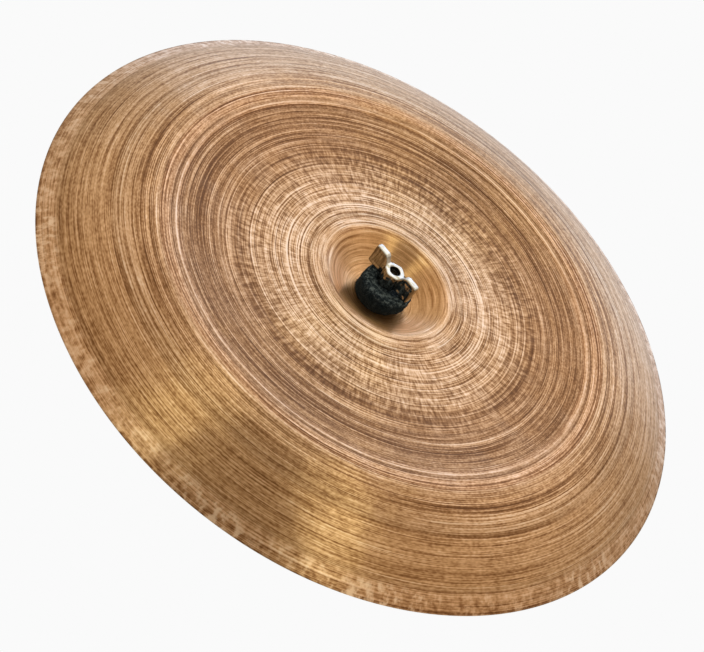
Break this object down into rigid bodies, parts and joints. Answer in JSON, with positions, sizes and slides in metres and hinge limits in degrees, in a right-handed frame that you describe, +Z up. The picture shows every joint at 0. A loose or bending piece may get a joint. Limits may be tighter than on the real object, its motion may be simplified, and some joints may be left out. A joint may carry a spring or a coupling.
{
  "type": "china cymbal",
  "caption": "Bronze china cymbal hung bell down on a threaded stand post, held between felts by a wing nut, with a cup bell, crease and turned-down flange.",
  "frame": {"origin": "centre of the post's foot face", "axes": "+Z up the post towards the wing nut; the rocking axis lies along X at rest; the picture looks along +Y and down"},
  "size_m": [0.4572, 0.4572, 0.0699],
  "materials": {
    "bronze": "hammered and lathed bronze with fine concentric grooves, satin",
    "felt": "pressed black wool felt",
    "nut_chrome": "bright plated casting",
    "threaded_steel": "zinc plated, rolled thread",
    "washer_steel": "pressed and plated",
    "sleeve_nylon": "moulded black nylon"
  },
  "bodies": {
    "post": {"post": "threaded_steel", "lock_nut": "threaded_steel", "seat_washer": "washer_steel"},
    "sleeve": {"sleeve": "sleeve_nylon", "lower_felt": "felt"},
    "cymbal": {"cymbal": "bronze"},
    "upper_felt": {"upper_felt": "felt"},
    "wing_nut": {"wing_nut": "nut_chrome"}
  },
  "joints": [
    {"name": "cymbal_spin", "type": "hinge", "parent": "post", "child": "sleeve", "pos_m": [0, 0, 0.0376], "axis": [0, 0, 1], "continuous": true},
    {"name": "cymbal_rock", "type": "hinge", "parent": "sleeve", "child": "cymbal", "pos_m": [0, 0, 0.0376], "axis": [1, 0, 0], "range_deg": [-12, 12], "stiffness_Nm_per_rad": 3, "deforming": ["lower_felt"]},
    {"name": "felt_rise", "type": "slide", "parent": "post", "child": "upper_felt", "axis": [0, 0, 1], "range_m": [0, 0.00406], "deforming": ["upper_felt"]},
    {"name": "nut_turn", "type": "hinge", "parent": "upper_felt", "child": "wing_nut", "pos_m": [0, 0, 0.0529], "axis": [0, 0, 1], "range_deg": [0, 1170]}
  ],
  "couplings": [
    {"joint": "nut_turn", "follows": "felt_rise", "rad_per_m": 5026.5}
  ]
}
